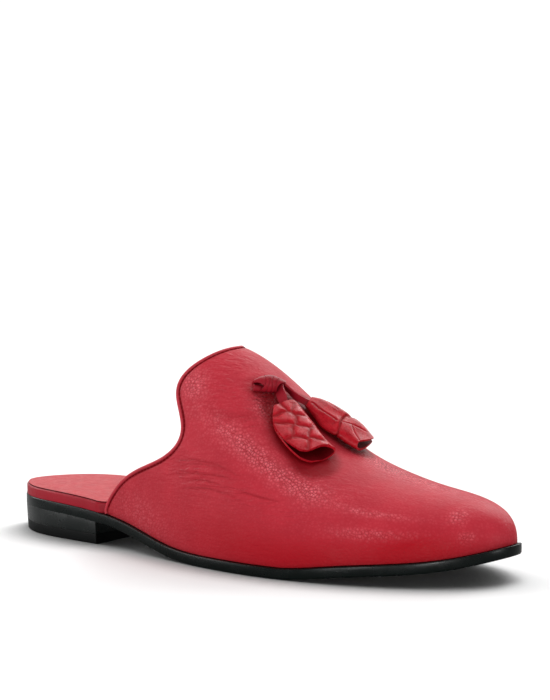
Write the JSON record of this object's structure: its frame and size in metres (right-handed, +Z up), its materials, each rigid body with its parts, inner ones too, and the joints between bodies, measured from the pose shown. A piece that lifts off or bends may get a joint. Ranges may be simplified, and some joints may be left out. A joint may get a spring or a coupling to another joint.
{
  "type": "loafer",
  "caption": "Backless slip-on tassel loafer for the right foot, with a low block heel, a high tongue and a soft almond toe, in grained leather on a thin sole.",
  "frame": {"origin": "floor level, under the middle of the shoe's plan", "axes": "+X towards the toe, +Y towards the inner side of the foot, +Z up"},
  "size_m": [0.27, 0.0884, 0.092],
  "materials": {
    "grained_leather": "tumbled grain, semi-matte",
    "smooth_leather": "smooth edge binding and straps, satin",
    "scaled_leather": "embossed scales, semi-gloss",
    "insole_leather": "smooth lining leather, satin",
    "black_sole": "dyed and waxed edge, satin",
    "black_rubber": "matte"
  },
  "bodies": {
    "root": {"upper": "grained_leather", "topline_binding": "smooth_leather", "insole": "insole_leather", "outsole": "black_sole", "heel_block": "black_sole", "heel_top_piece": "black_rubber", "tassel_knot": "smooth_leather", "outer_tassel_thong": "smooth_leather", "inner_tassel_thong": "smooth_leather", "outer_tassel_leaf": "scaled_leather", "inner_tassel_leaf": "scaled_leather"}
  },
  "joints": []
}
